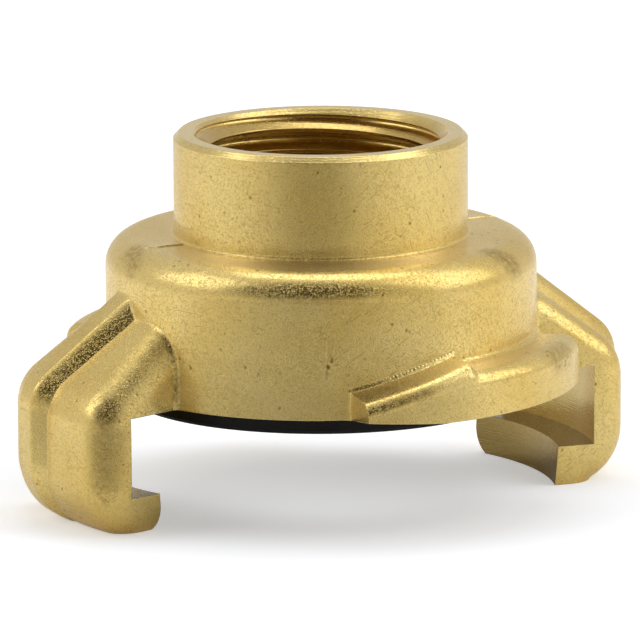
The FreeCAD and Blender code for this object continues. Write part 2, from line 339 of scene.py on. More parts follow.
def wear_cutter(columns=14, rows=8):
    """Closed block under the ramp. Its upper side is DRUM_BASE_Z - APART + WEAR_RISE u v, where
    v grows from 0 at the drum's radius to 1 at the ramp's outer face, and u from 0 at WEAR_END_X
    to 1 at WEAR_START_X."""
    x = np.linspace(BLOCK_END_X, WEAR_END_X, columns)[:, None]
    y = -np.linspace(BLOCK_INNER_Y, BLOCK_OUTER_Y, rows)[None, :]
    u = np.clip((WEAR_END_X - x) / (WEAR_END_X - WEAR_START_X), 0, U_LIMIT)
    v = np.clip((np.hypot(x, y) - DRUM_RADIUS) / (CAM_RADIUS - DRUM_RADIUS), 0, V_LIMIT)
    top = DRUM_BASE_Z - APART + WEAR_RISE * u * v
    grid = np.stack([x + 0 * y, y + 0 * x, top], axis=-1).reshape(-1, 3)
    points = np.concatenate([grid, grid * (1, 1, 0) + (0, 0, BLOCK_FOOT_Z)])
    count = columns * rows
    upper = skin_grid(columns, rows)
    faces = upper + [[k + count for k in quad[::-1]] for quad in upper]
    edge = [c * rows for c in range(columns)]
    loop = (edge + [(columns - 1) * rows + r for r in range(1, rows)]
            + [c + rows - 1 for c in edge[-2::-1]] + list(range(rows - 2, 0, -1)))
    faces += [[a, b, b + count, a + count] for a, b in zip(loop, loop[1:] + loop[:1])]
    return mesh_piece("wear_cutter", points, faces)


combine(brass_body, wear_cutter(), "DIFFERENCE")

# %% [markdown]
# ## Smooth shading
# The long flat faces beside small roundings would shade unevenly if each corner's normal were a
# plain average. Sharp edges are kept where the surface really turns, and the normals are weighted
# by the area of the faces.

# %% Shade the pieces
NORMAL_WEIGHT = 80


def edge_turns(mesh):
    """How far the surface turns at each edge, in radians. The sum of two unit normals that lie an
    angle t apart has the length 2 cos(t / 2); an edge without just two faces counts as a fold."""
    faces, corners, edges = len(mesh.polygons), len(mesh.loops), len(mesh.edges)
    normal = np.empty(faces * 3, np.float32)
    sides = np.empty(faces, np.int32)
    edge = np.empty(corners, np.int32)
    mesh.polygons.foreach_get("normal", normal)
    mesh.polygons.foreach_get("loop_total", sides)
    mesh.loops.foreach_get("edge_index", edge)
    total = np.zeros((edges, 3))
    np.add.at(total, edge, np.repeat(normal.reshape(-1, 3), sides, axis=0))
    turn = 2 * np.arccos(np.clip(np.linalg.norm(total, axis=1) / 2, 0, 1))
    return np.where(np.bincount(edge, minlength=edges) == 2, turn, np.pi)


def shade(piece, sharp_degrees):
    """Smooth shading that breaks at edges sharper than the angle, with weighted normals."""
    mesh = piece.data
    mesh.shade_smooth()
    sharp = edge_turns(mesh) > math.radians(sharp_degrees)
    mesh.edges.foreach_set("use_edge_sharp", sharp)
    mesh.update()
    print(piece.name, "sharp edges", int(sharp.sum()), "of", len(sharp))
    weighted = piece.modifiers.new("weighted", "WEIGHTED_NORMAL")
    weighted.mode = "FACE_AREA_WITH_ANGLE"
    weighted.keep_sharp = True
    weighted.weight = NORMAL_WEIGHT


shade(brass_body, sharp_degrees=28)
shade(rubber_seal, sharp_degrees=35)

# %% [markdown]
# ## Which faces the lathe has cut
# Forged skin and turned metal look different, and the border between them is crisp. Each face is
# sorted by its place and by the way it faces: turned faces get the second material.

# %% Sort the faces
BORE_LIMIT, BORE_FOOT_Z = 11.0, 12.0
SEAT_TOP_Z = 13.8
# How far from its plane or edge a turned face may lie.
HAIR = 0.02
LIP_SPREAD = 0.03
WALL_SPREAD = 0.1
UNDERSIDE_SPREAD = 0.6
# Least component of a face's normal along the way it should face.
FACES_AXIS, FACES_LEVEL, FACES_DOWN = 0.8, 0.9, 0.95


def turned_faces(mesh):
    """True for each face that a tool has cut: rim, bore, pockets, lips, soles and underside."""
    count = len(mesh.polygons)
    centre = np.empty(count * 3, np.float32)
    normal = np.empty(count * 3, np.float32)
    mesh.polygons.foreach_get("center", centre)
    mesh.polygons.foreach_get("normal", normal)
    centre = centre.reshape(-1, 3) / MM
    normal = normal.reshape(-1, 3)
    radius = np.hypot(centre[:, 0], centre[:, 1])
    height = centre[:, 2]
    inward = -(normal[:, 0] * centre[:, 0] + normal[:, 1] * centre[:, 1]) / np.maximum(radius, 1e-6)
    rim = (height > RIM_Z - RIM_CHAMFER) & (radius > NECK_RADIUS - RIM_CHAMFER - HAIR)
    rim |= height > RIM_Z - HAIR
    bore = (radius < BORE_LIMIT) & (height > BORE_FOOT_Z)
    seat = (radius < SEAT_RADIUS) & (height < SEAT_TOP_Z) & (height > DRUM_BASE_Z - HAIR)
    down = normal[:, 2] < -FACES_DOWN
    underside = (np.abs(height - DRUM_BASE_Z) < UNDERSIDE_SPREAD) & down
    wall = (inward > FACES_AXIS) & (radius < POCKET_RADIUS + WALL_SPREAD) & (height < DRUM_BASE_Z)
    lip_top = (np.abs(height - LIP_TOP_Z) < LIP_SPREAD) & (normal[:, 2] > FACES_LEVEL)
    sole = (height < HAIR) & (normal[:, 2] < -FACES_LEVEL)
    return rim | bore | seat | underside | wall | lip_top | sole


is_turned = turned_faces(brass_body.data)
print("turned faces:", int(is_turned.sum()), "of", len(is_turned))

# %% [markdown]
# ## Finish of the brass
# A forging that has been tumbled and pickled is satin: a soft gloss broken up by countless short
# scratches, small pits and a slight unevenness of the skin. Both brass finishes use the same
# scratches, tarnish and worn edges, so each effect is a node group, built once.


# %% Node helpers
def new_group(name, inputs, outputs):
    """Shader node group with float, colour or vector sockets: lists of (name, kind, value)."""
    group = bpy.data.node_groups.new(name, "ShaderNodeTree")
    for label, kind, value in inputs:
        socket = group.interface.new_socket(name=label, in_out="INPUT", socket_type=kind)
        if value is not None:
            socket.default_value = value
    for label, kind in outputs:
        group.interface.new_socket(name=label, in_out="OUTPUT", socket_type=kind)
    return group


def plug(tree, socket, value):
    """Feeds an input: links it to another socket, or sets it to a constant."""
    if isinstance(value, bpy.types.NodeSocket):
        tree.links.new(value, socket)
    else:
        socket.default_value = value


def node(tree, kind, settings=None, **inputs):
    """Adds a node; settings are its properties, inputs are values or the sockets that feed it.
    An input is given by its name, or by its number as i0, i1 and so on."""
    made = tree.nodes.new(kind)
    for key, value in (settings or {}).items():
        setattr(made, key, value)
    for key, value in inputs.items():
        numbered = key[0] == "i" and key[1:].isdigit()
        plug(tree, made.inputs[int(key[1:]) if numbered else key.replace("_", " ")], value)
    return made


def ramp(tree, value, stops):
    """Colour ramp through (position, grey level) stops."""
    made = tree.nodes.new("ShaderNodeValToRGB")
    tree.links.new(value, made.inputs[0])
    band = made.color_ramp
    band.elements[0].position, band.elements[1].position = stops[0][0], stops[-1][0]
    band.elements[0].color = (stops[0][1],) * 3 + (1,)
    band.elements[1].color = (stops[-1][1],) * 3 + (1,)
    for position, grey in stops[1:-1]:
        band.elements.new(position).color = (grey,) * 3 + (1,)
    return made.outputs[0]


def math_node(tree, operation, a, b=0.0, clamp=False):
    """One Math node's result."""
    return node(tree, "ShaderNodeMath", {"operation": operation, "use_clamp": clamp},
                i0=a, i1=b).outputs[0]


def vector_node(tree, operation, a, output=0, **inputs):
    """One Vector Math node's result; its output is a number or a name."""
    return node(tree, "ShaderNodeVectorMath", {"operation": operation}, i0=a,
                **inputs).outputs[output]


def product(tree, *values):
    """Product of two or more values."""
    result = values[0]
    for value in values[1:]:
        result = math_node(tree, "MULTIPLY", result, value)
    return result


def weighted_sum(tree, terms, base=0.0):
    """Sum of value * weight over the terms, plus a base."""
    result = None
    for value, weight in terms:
        term = math_node(tree, "MULTIPLY", value, weight)
        result = term if result is None else math_node(tree, "ADD", result, term)
    return math_node(tree, "ADD", result, base)


def one_minus(tree, value, share=1.0):
    """1 - value * share."""
    return math_node(tree, "SUBTRACT", 1.0, math_node(tree, "MULTIPLY", value, share))


def smooth(tree, value, start, end, top=1.0):
    """0 at start, top at end, and smooth between."""
    return node(tree, "ShaderNodeMapRange", {"interpolation_type": "SMOOTHSTEP"}, Value=value,
                From_Min=start, From_Max=end, To_Min=0.0, To_Max=top).outputs[0]


def noise(tree, place, scale, detail, roughness=0.5, output="Fac"):
    """Noise texture; scale is in grains to the metre."""
    return node(tree, "ShaderNodeTexNoise", None, Vector=place, Scale=scale, Detail=detail,
                Roughness=roughness).outputs[output]


# %% [markdown]
# ### Scratches
# Tumbling leaves short scratches that run all ways. Each layer is a noise that is turned first and
# stretched after, so that its dark threads lie along a direction of their own; cut off low, only
# the threads are left. A slow bend keeps them from being straight.

# %% Scratch group
SCRATCH_WIDTH = 0.00012
SCRATCH_LENGTH = 0.0027
SCRATCH_TURNS = ((0.3, 0.9, 0.2), (1.2, 0.4, 2.1), (2.3, 1.7, 0.8), (0.9, 2.6, 1.5),
                 (2.8, 0.2, 2.7), (1.6, 1.3, 0.5))
# The bend's grains to the metre, and how far it pushes, in metres.
BEND_SCALE, BEND_PUSH = 700.0, 0.00022
# Where the noise's dark threads are cut off: (level, height) below and above.
SCRATCH_CUT = ((0.20, 0.0), (0.29, 1.0))


def build_scratches():
    """Height of fine scratches, from 0 in a scratch to 1 on clean metal, and a mask of them."""
    group = new_group("fine scratches", [
        ("Position", "NodeSocketVector", None),
        ("Fineness", "NodeSocketFloat", 1.0),
    ], [("Height", "NodeSocketFloat"), ("Mask", "NodeSocketFloat")])
    entry = group.nodes.new("NodeGroupInput")
    leave = group.nodes.new("NodeGroupOutput")
    scaled = vector_node(group, "SCALE", entry.outputs["Position"],
                         Scale=entry.outputs["Fineness"])
    bend = noise(group, scaled, BEND_SCALE, detail=1.0, output="Color")
    push = vector_node(group, "SCALE", bend, Scale=BEND_PUSH)
    moved = vector_node(group, "ADD", scaled, i1=push)
    layers = []
    for turn in SCRATCH_TURNS:
        turned = node(group, "ShaderNodeMapping", {"vector_type": "TEXTURE"}, Vector=moved,
                      Rotation=turn, Scale=(SCRATCH_WIDTH, SCRATCH_WIDTH, SCRATCH_LENGTH))
        threads = noise(group, turned.outputs[0], scale=1.0, detail=0.0)
        layers.append(ramp(group, threads, SCRATCH_CUT))
    height = product(group, *layers)
    group.links.new(height, leave.inputs["Height"])
    group.links.new(one_minus(group, height), leave.inputs["Mask"])
    return group


scratches = build_scratches()

# %% [markdown]
# ### Forged skin
# Under the scratches the skin has pits where scale was hammered in, a fine grain, and a slow
# waviness that the dies left. One group adds them up as a height, and masks the pits. A second
# masks the tarnish that stays in sheltered, dull patches, and a third masks round a short line, for
# stains at chosen places and for painted shade along a nick.

# %% Skin, tarnish and stain groups
# Each noise has a scale, in grains to the metre, and a cut, which is a ramp's (position, level)
# stops. First the noises that make the skin's height, and the height of each.
GRAIN_SCALE, DIMPLE_SCALE, WAVE_SCALE = 4200.0, 1300.0, 230.0
GRAIN_HEIGHT, DIMPLE_HEIGHT, WAVE_HEIGHT, PIT_DEPTH = 0.04, 0.09, 1.25, 0.45
# A pit in its cell, and which parts of the skin are pitted.
PIT_SCALE, PIT_CUT = 1100.0, ((0.08, 1.0), (0.20, 0.0))
PITTED_SCALE, PITTED_CUT = 520.0, ((0.54, 0.0), (0.62, 1.0))
# Clouds and specks of the tarnish, and gaps in a stain.
CLOUD_SCALE, CLOUD_CUT = 150.0, ((0.40, 0.25), (0.68, 1.0))
SPECK_SCALE, SPECK_CUT = 3800.0, ((0.45, 0.12), (0.66, 1.0))
GAP_SCALE, GAP_CUT = 2300.0, ((0.44, 0.75), (0.58, 0.0))
# Share of a stain's reach, measured from its line, that is at full strength.
STAIN_CORE = 0.15


def build_skin():
    """Height of the forged skin, and a mask of its pits."""
    group = new_group("forged skin", [
        ("Position", "NodeSocketVector", None),
    ], [("Height", "NodeSocketFloat"), ("Pits", "NodeSocketFloat")])
    entry = group.nodes.new("NodeGroupInput")
    leave = group.nodes.new("NodeGroupOutput")
    place = entry.outputs["Position"]
    grain = noise(group, place, GRAIN_SCALE, detail=2.0, roughness=0.6)
    dimple = noise(group, place, DIMPLE_SCALE, detail=2.0)
    wave = noise(group, place, WAVE_SCALE, detail=2.0)
    cell = node(group, "ShaderNodeTexVoronoi", {"feature": "F1"}, Vector=place,
                Scale=PIT_SCALE, Randomness=1.0).outputs["Distance"]
    pitted = ramp(group, noise(group, place, PITTED_SCALE, detail=1.0), PITTED_CUT)
    pits = product(group, ramp(group, cell, PIT_CUT), pitted)
    height = weighted_sum(group, ((grain, GRAIN_HEIGHT), (dimple, DIMPLE_HEIGHT),
                                  (wave, WAVE_HEIGHT), (pits, -PIT_DEPTH)))
    group.links.new(height, leave.inputs["Height"])
    group.links.new(pits, leave.inputs["Pits"])
    return group


def build_tarnish():
    """Mask of dull patches: wide clouds broken up by a finer noise."""
    group = new_group("tarnish", [
        ("Position", "NodeSocketVector", None),
        ("Amount", "NodeSocketFloat", 0.5),
    ], [("Mask", "NodeSocketFloat")])
    entry = group.nodes.new("NodeGroupInput")
    leave = group.nodes.new("NodeGroupOutput")
    place = entry.outputs["Position"]
    clouds = ramp(group, noise(group, place, CLOUD_SCALE, detail=3.0, roughness=0.55), CLOUD_CUT)
    specks = ramp(group, noise(group, place, SPECK_SCALE, detail=1.0, roughness=0.6), SPECK_CUT)
    group.links.new(product(group, clouds, specks, entry.outputs["Amount"]),
                    leave.inputs["Mask"])
    return group


def build_stain():
    """Mask round a short line, for stains and for painted shade along a nick: full on the line that
    begins at Start and covers Run, gone at Reach from it, and broken up by a noise. With p the
    place and s clamped to 0...1, the distance is |p - Start - s Run|, where s = (p - Start) . Run /
    Run . Run."""
    group = new_group("stain", [
        ("Position", "NodeSocketVector", None), ("Start", "NodeSocketVector", None),
        ("Run", "NodeSocketVector", None), ("Reach", "NodeSocketFloat", 0.001),
        ("Strength", "NodeSocketFloat", 1.0), ("Broken", "NodeSocketFloat", 1.0),
    ], [("Mask", "NodeSocketFloat")])
    entry = group.nodes.new("NodeGroupInput").outputs
    leave = group.nodes.new("NodeGroupOutput")
    past = vector_node(group, "SUBTRACT", entry["Position"], i1=entry["Start"])
    dots = [vector_node(group, "DOT_PRODUCT", side, "Value", i1=entry["Run"])
            for side in (past, entry["Run"])]
    share = math_node(group, "DIVIDE", dots[0], dots[1], clamp=True)
    reached = vector_node(group, "SCALE", entry["Run"], Scale=share)
    away = vector_node(group, "DISTANCE", past, "Value", i1=reached)
    near = smooth(group, math_node(group, "DIVIDE", away, entry["Reach"]), 1.0, STAIN_CORE)
    spots = noise(group, entry["Position"], GAP_SCALE, detail=4.0, roughness=0.75)
    gaps = product(group, ramp(group, spots, GAP_CUT), entry["Broken"])
    mask = product(group, near, one_minus(group, gaps), entry["Strength"])
    group.links.new(mask, leave.inputs["Mask"])
    return group


forged_skin = build_skin()
tarnish = build_tarnish()
stain = build_stain()

# %% [markdown]
# ### Soft, worn edges and painted crease highlights
# No edge of the real part is sharp: tumbling rounds each one by roughly a tenth of a millimetre,
# the forged ones more than the turned ones, and polishes it. The group rounds the normals near
# edges and corners, and where the rounded normal leaves the true one, its mask marks those places:
# worn metal on the outer edges, and a painted highlight in the inner corners and creases.

# %% Edge group
BEVEL_SAMPLES = 6
# Marked where the two normals' product is low, untouched where it is almost 1: worn metal at outer
# edges, a painted highlight in inner corners.
WORN_CUT = ((0.90, 1.0), (0.995, 0.0))


def build_edges():
    """Normal that is rounded within Radius of each edge, and a mask of those places."""
    group = new_group("worn edges", [
        ("Radius", "NodeSocketFloat", 0.0001),
    ], [("Normal", "NodeSocketVector"), ("Mask", "NodeSocketFloat")])
    entry = group.nodes.new("NodeGroupInput")
    leave = group.nodes.new("NodeGroupOutput")
    rounded = node(group, "ShaderNodeBevel", {"samples": BEVEL_SAMPLES},
                   Radius=entry.outputs["Radius"]).outputs["Normal"]
    true_normal = group.nodes.new("ShaderNodeNewGeometry").outputs["Normal"]
    alike = vector_node(group, "DOT_PRODUCT", rounded, "Value", i1=true_normal)
    group.links.new(rounded, leave.inputs["Normal"])
    group.links.new(ramp(group, alike, WORN_CUT), leave.inputs["Mask"])
    return group


worn_edges = build_edges()

# %% [markdown]
# ### The two brass materials
# Brass is a metal, so its colour is the tint of its reflections. The forged skin is rougher and
# more uneven; the turned faces are smoother, with fine rings round the axis that the lathe's tool
# left, and those under the drum and in the bore get painted shade. Slow changes of colour and
# tarnish keep both from looking like paint.

# %% Brass materials
BRASS = (0.82, 0.585, 0.175, 1.0)
BRASS_PALE = (0.88, 0.67, 0.25, 1.0)
BRASS_DULL = (0.25, 0.145, 0.032, 1.0)
# Paler colour that only reflections in other metal see: a painted reflection.
BRASS_BOUNCED = (0.88, 0.78, 0.54, 1.0)
# Painted shade inside the bore.
BRASS_BORE = (0.50, 0.29, 0.05, 1.0)
# Painted shade on the lips, the ledges and the pockets.
BRASS_SHELTERED = (0.16, 0.09, 0.017, 1.0)
# Pale worn edges; in the inner corners the same pale colour is a painted highlight.
BRASS_WORN = (0.95, 0.76, 0.33, 1.0)
# Stains of the forged skin, and painted shade along the first nick, in millimetres: start, end,
# reach, strength, share that is broken up.
STAINS = (((-23.6, -8.6, 3.6), (-23.6, -8.6, 11.4), 1.75, 0.38, 1.0),
          ((9.6, -13.4, 22.0), (11.2, -13.7, 21.0), 1.9, 0.70, 0.9),
          ((13.4, -16.0, 12.9), (15.4, -13.8, 12.9), 1.8, 0.70, 0.9),
          ((-0.2, -21.7, 12.9), (-4.6, -21.2, 12.3), 0.85, 0.60, 0.8),
          ((-17.5, -1.4, 21.0), (-16.4, 1.0, 21.8), 1.6, 0.60, 1.0),
          ((-16.63, -7.6, 13.4), (-16.61, -7.6, 11.0), 0.40, 0.80, 1.0),
          # The last four follow the first nick down the drum: painted shade in its groove.
          ((-6.58, -16.81, 16.7), (-6.66, -16.78, 15.1), 0.15, 0.55, 1.0),
          ((-6.60, -16.80, 15.2), (-6.64, -16.79, 15.0), 0.20, 0.75, 0.2),
          ((-6.93, -16.67, 14.6), (-6.90, -16.68, 14.5), 0.24, 1.00, 0.0),
          ((-6.97, -16.65, 14.5), (-7.04, -16.62, 13.6), 0.13, 0.60, 0.8))
# The slow change of colour, the etched grains, and the turned metal's rings.
SLOW_SCALE, SLOW_CUT = 110.0, ((0.35, 0.0), (0.68, 1.0))
ETCHED_SCALE, ETCHED_CUT = 15000.0, ((0.46, 0.0), (0.56, 1.0))
FEED_SCALE = 7000.0
# How much each mask changes the colour of the forged skin.
PITS_DULL, SCRATCHES_DULL, EDGES_WORN, BOUNCED_SHARE = 0.7, 0.20, 0.8, 0.76
# Roughness of the forged skin and of the turned metal, and what each mask adds to it.
FORGED_ROUGH, SCRATCH_ROUGH, DULL_ROUGH, STAIN_ROUGH, ETCHED_ROUGH = 0.19, 0.08, 0.20, 0.15, 0.22
TURNED_ROUGH, FEED_ROUGH, TURNED_DULL_ROUGH = 0.16, 0.10, 0.2
FORGED_TARNISH, TURNED_TARNISH = 0.20, 0.3
TURNED_FINENESS = 0.8
# Rounding of the edges and depths of the bumps, in metres.
FORGED_EDGE, TURNED_EDGE = 0.00014, 0.00008
SKIN_DEPTH, SCRATCH_DEPTH = 0.00006, 0.000015
FEED_DEPTH, TURNED_SCRATCH_DEPTH = 0.000009, 0.000008
# How much painted shade the turned faces get: the lips and ledges, what the far claw's ledge adds,
# the pockets, and the share that is left out where another face mirrors them.
LIPS_DARK, FAR_LEDGE_DARK, POCKETS_DARK, MIRRORED_LESS = 0.62, 0.34, 0.36, 0.6
# How far above the lips' tops and below the drum's base those places are taken to end.
LIPS_SLACK, BASE_SLACK = 0.05, 0.1
# A face is level where the upright part of its normal is more than this.
LEVEL_FACING = 0.6
# The bore gets painted shade, darker from its mouth's radius to its wall's.
MOUTH_RADIUS, WALL_RADIUS, BORE_DARK = 10.7, 10.0, 0.5


def use_group(tree, group, **inputs):
    """Places a node group in a material, feeds its inputs and gives its outputs."""
    return node(tree, "ShaderNodeGroup", {"node_tree": group}, **inputs).outputs


def mix_colour(tree, factor, a, b):
    """Mix of two colours by a factor."""
    return node(tree, "ShaderNodeMix", {"data_type": "RGBA"}, i0=factor, i6=a, i7=b).outputs[2]


def start_material(name):
    """Material with a Principled shader and the object's own coordinates."""
    material = bpy.data.materials.new(name)
    material.use_nodes = True
    tree = material.node_tree
    shader = tree.nodes["Principled BSDF"]
    place = tree.nodes.new("ShaderNodeTexCoord").outputs["Object"]
    return material, tree, shader, place


def bump(tree, height, distance, strength, under=None):
    """Normal from a height; distance is the depth in metres of a height of 1."""
    made = node(tree, "ShaderNodeBump", None, Distance=distance, Strength=strength, Height=height)
    if under is not None:
        tree.links.new(under, made.inputs["Normal"])
    return made.outputs["Normal"]


def forged_brass():
    """Satin forged skin with scratches, pits, dull patches, stains and pale worn edges; the inner
    corners get the same pale colour as a painted highlight, and the nick a painted shade. Etched
    grains lie between smoother ones, finer than a pixel, so that light is spread both narrowly and
    widely.
    Where other metal mirrors it, the skin is painted paler, a painted reflection, as the photograph
    shows it there."""
    material, tree, shader, place = start_material("forged brass")
    skin = use_group(tree, forged_skin, Position=place)
    fine = use_group(tree, scratches, Position=place, Fineness=1.0)
    dull = use_group(tree, tarnish, Position=place, Amount=FORGED_TARNISH)["Mask"]
    edge = use_group(tree, worn_edges, Radius=FORGED_EDGE)
    smudge = None
    # Stains, and painted shade along the nick.
    for start, end, reach, strength, broken in STAINS:
        run = [(b - a) * MM for a, b in zip(start, end)]
        spot = use_group(tree, stain, Position=place, Start=[a * MM for a in start], Run=run,
                         Reach=reach * MM, Strength=strength, Broken=broken)["Mask"]
        smudge = spot if smudge is None else math_node(tree, "MAXIMUM", smudge, spot)
    bounced = tree.nodes.new("ShaderNodeLightPath").outputs["Is Glossy Ray"]
    slow = ramp(tree, noise(tree, place, SLOW_SCALE, detail=3.0), SLOW_CUT)
    tint = mix_colour(tree, slow, BRASS, BRASS_PALE)
    # Among these, the pale colour in inner corners is a painted highlight, the dark line of the
    # nick is painted shade, and the paler colour seen in reflections is a painted reflection.
    for mask, share, colour in ((dull, 1.0, BRASS_DULL),
                                (skin["Pits"], PITS_DULL, BRASS_DULL),
                                (fine["Mask"], SCRATCHES_DULL, BRASS_DULL),
                                (edge["Mask"], EDGES_WORN, BRASS_WORN),
                                (smudge, 1.0, BRASS_DULL),
                                (bounced, BOUNCED_SHARE, BRASS_BOUNCED)):
        tint = mix_colour(tree, product(tree, mask, share), tint, colour)
    tree.links.new(tint, shader.inputs["Base Color"])
    shader.inputs["Metallic"].default_value = 1.0
    etched = ramp(tree, noise(tree, place, ETCHED_SCALE, detail=1.0), ETCHED_CUT)
    rough = weighted_sum(tree, ((fine["Mask"], SCRATCH_ROUGH), (dull, DULL_ROUGH),
                                (smudge, STAIN_ROUGH), (etched, ETCHED_ROUGH)), FORGED_ROUGH)
    tree.links.new(rough, shader.inputs["Roughness"])
    low = bump(tree, skin["Height"], SKIN_DEPTH, strength=0.8, under=edge["Normal"])
    top = bump(tree, fine["Height"], SCRATCH_DEPTH, strength=1.0, under=low)
    tree.links.new(top, shader.inputs["Normal"])
    return material


def sheltered(tree, place, level):
    """Mask of painted shade on the turned faces: the ledge of the far claw most, then the near
    one's, the lips' walls and the pockets; less of it shows where another face mirrors them."""
    x, height = place.outputs[0], place.outputs[2]
    low_down = math_node(tree, "LESS_THAN", height, (LIP_TOP_Z + LIPS_SLACK) * MM)
    under = math_node(tree, "LESS_THAN", height, (DRUM_BASE_Z - BASE_SLACK) * MM)
    far = math_node(tree, "GREATER_THAN", x, 0.0)
    far_ledge = product(tree, far, level)
    lips = product(tree, low_down, weighted_sum(tree, ((far_ledge, FAR_LEDGE_DARK),), LIPS_DARK))
    either = math_node(tree, "MAXIMUM", lips, product(tree, under, POCKETS_DARK))
    bounced = tree.nodes.new("ShaderNodeLightPath").outputs["Is Glossy Ray"]
    return product(tree, either, one_minus(tree, bounced, MIRRORED_LESS))


def turned_brass():
    """Smooth turned metal with rings round the axis, with painted shade in the bore and in the
    claws.
    """
    material, tree, shader, place = start_material("turned brass")
    fine = use_group(tree, scratches, Position=place, Fineness=TURNED_FINENESS)
    dull = use_group(tree, tarnish, Position=place, Amount=TURNED_TARNISH)["Mask"]
    edge = use_group(tree, worn_edges, Radius=TURNED_EDGE)
    parts = node(tree, "ShaderNodeSeparateXYZ", None, Vector=place)
    across = node(tree, "ShaderNodeCombineXYZ", None, X=parts.outputs[0], Y=parts.outputs[1])
    radius = vector_node(tree, "LENGTH", across.outputs[0], "Value")
    facing = node(tree, "ShaderNodeSeparateXYZ", None,
                  Vector=tree.nodes.new("ShaderNodeNewGeometry").outputs["Normal"]).outputs[2]
    level = math_node(tree, "GREATER_THAN", math_node(tree, "ABSOLUTE", facing), LEVEL_FACING)
    # The tool travels along the radius on level faces and along the axis on walls.
    travel = node(tree, "ShaderNodeMix", None, Factor=level, i2=parts.outputs[2],
                  i3=radius).outputs[0]
    feed = node(tree, "ShaderNodeTexNoise", {"noise_dimensions": "1D"}, W=travel, Scale=FEED_SCALE,
                Detail=2.0, Roughness=0.7).outputs["Fac"]
    inside = node(tree, "ShaderNodeMapRange", None, Value=radius, From_Min=MOUTH_RADIUS * MM,
                  From_Max=WALL_RADIUS * MM, To_Min=0.0, To_Max=BORE_DARK).outputs[0]
    # Painted shade: darker towards the bore's wall.
    tint = mix_colour(tree, inside, BRASS_PALE, BRASS_BORE)
    # Painted shade on the lips, the ledges and the pockets, most on the far claw's ledge.
    tint = mix_colour(tree, sheltered(tree, parts, level), tint, BRASS_SHELTERED)
    tint = mix_colour(tree, dull, tint, BRASS_DULL)
    tree.links.new(tint, shader.inputs["Base Color"])
    shader.inputs["Metallic"].default_value = 1.0
    rough = weighted_sum(tree, ((feed, FEED_ROUGH), (dull, TURNED_DULL_ROUGH)), TURNED_ROUGH)
    tree.links.new(rough, shader.inputs["Roughness"])
    low = bump(tree, feed, FEED_DEPTH, strength=0.9, under=edge["Normal"])
    top = bump(tree, fine["Height"], TURNED_SCRATCH_DEPTH, strength=0.6, under=low)
    tree.links.new(top, shader.inputs["Normal"])
    return material


RUBBER = (0.006, 0.0055, 0.004, 1.0)
RUBBER_DUSTY = (0.028, 0.025, 0.019, 1.0)
RUBBER_GRAIN_SCALE = 2600.0
DUST_SCALE, DUST_CUT, DUST_SHARE = 420.0, ((0.50, 0.0), (0.75, 1.0)), 0.35
RUBBER_SHINE = 0.22
RUBBER_ROUGH, RUBBER_GRAIN_ROUGH = 0.42, 0.2
RUBBER_GRAIN_DEPTH = 0.00003


def seal_rubber():
    """Black moulded rubber, matte, with a fine grain and a little dust."""
    material, tree, shader, place = start_material("seal rubber")
    grain = noise(tree, place, RUBBER_GRAIN_SCALE, detail=3.0, roughness=0.6)
    dust = ramp(tree, noise(tree, place, DUST_SCALE, detail=4.0, roughness=0.7), DUST_CUT)
    tint = mix_colour(tree, product(tree, dust, DUST_SHARE), RUBBER, RUBBER_DUSTY)
    tree.links.new(tint, shader.inputs["Base Color"])
    shader.inputs["Specular IOR Level"].default_value = RUBBER_SHINE
    rough = weighted_sum(tree, ((grain, RUBBER_GRAIN_ROUGH),), RUBBER_ROUGH)
    tree.links.new(rough, shader.inputs["Roughness"])
    tree.links.new(bump(tree, grain, RUBBER_GRAIN_DEPTH, strength=0.6), shader.inputs["Normal"])
    return material


for piece, materials in ((brass_body, (forged_brass(), turned_brass())),
                         (rubber_seal, (seal_rubber(),))):
    piece.data.materials.clear()
    for material in materials:
        piece.data.materials.append(material)
brass_body.data.polygons.foreach_set("material_index", is_turned.astype(np.int32))
brass_body.data.update()

# %% [markdown]
# ## Pieces and the frame
# Both pieces ride on the row's one body and stand for their CAD nodes, which are hidden.

# %% Tie the pieces to the frame
for piece, cad_node, slot in ((brass_body, "coupling_body", "forged_brass"),
                              (rubber_seal, "face_seal", "seal_rubber")):
    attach(piece, "root")
    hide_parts(cad_node)

# %% [markdown]
# ## Studio
# Polished metal shows what stands around it, so the surroundings are laid out as they were in the
# photograph. What each part of the round body mirrors there tells where the light was: a soft
# panel on each side, a third one high up behind the object, a pale floor, and a dark room over the
# camera. That dark patch is what gives the drum and the neck their darker middles.

# %% Where things stand
CAMERA_AZIMUTH = -24.23
CAMERA_ELEVATION = 11.88


def direction_at(turn, lift):
    """Unit vector towards a place: turn in degrees to the right of the camera, lift above level."""
    a, e = math.radians(CAMERA_AZIMUTH + turn), math.radians(lift)
    return Vector((math.sin(a) * math.cos(e), -math.cos(a) * math.cos(e), math.sin(e)))


# %% [markdown]
# ### Floor
# The camera sees it almost white, with the object's shadow on it. In the metal it is less bright,
# and its colour and glow there are painted: a painted shade between the camera and the object, no
# glow under the object as a painted shadow, and a painted pale ring round it; beyond the ring the
# photographer's table ended.

# %% Floor
# Half the floor's side, in millimetres.
FLOOR_REACH = 3000.0
FLOOR_GREY = (0.80, 0.80, 0.80, 1.0)
FLOOR_SHADE = (0.26, 0.26, 0.26, 1.0)
FLOOR_GLOW = 0.42
WHITE = (1.0, 1.0, 1.0, 1.0)
# Share of the glow that the metal sees, what the ring adds to it, and how much of the dark band's
# shade the ring takes away.
GLOSSY_SHARE = 0.45
RING_SHARE = 1.15
RING_LIGHTER = 0.50
# Distances in metres from which and to which a part of the floor comes in: the inner and outer
# side of the ring, the glow round the object, the dark band along its way and across it.
RING_INNER, RING_OUTER = (0.058, 0.084), (0.150, 0.108)
GLOW_START = (0.010, 0.033)
BAND_START, BAND_SIDES = (0.018, 0.048), (0.125, 0.060)
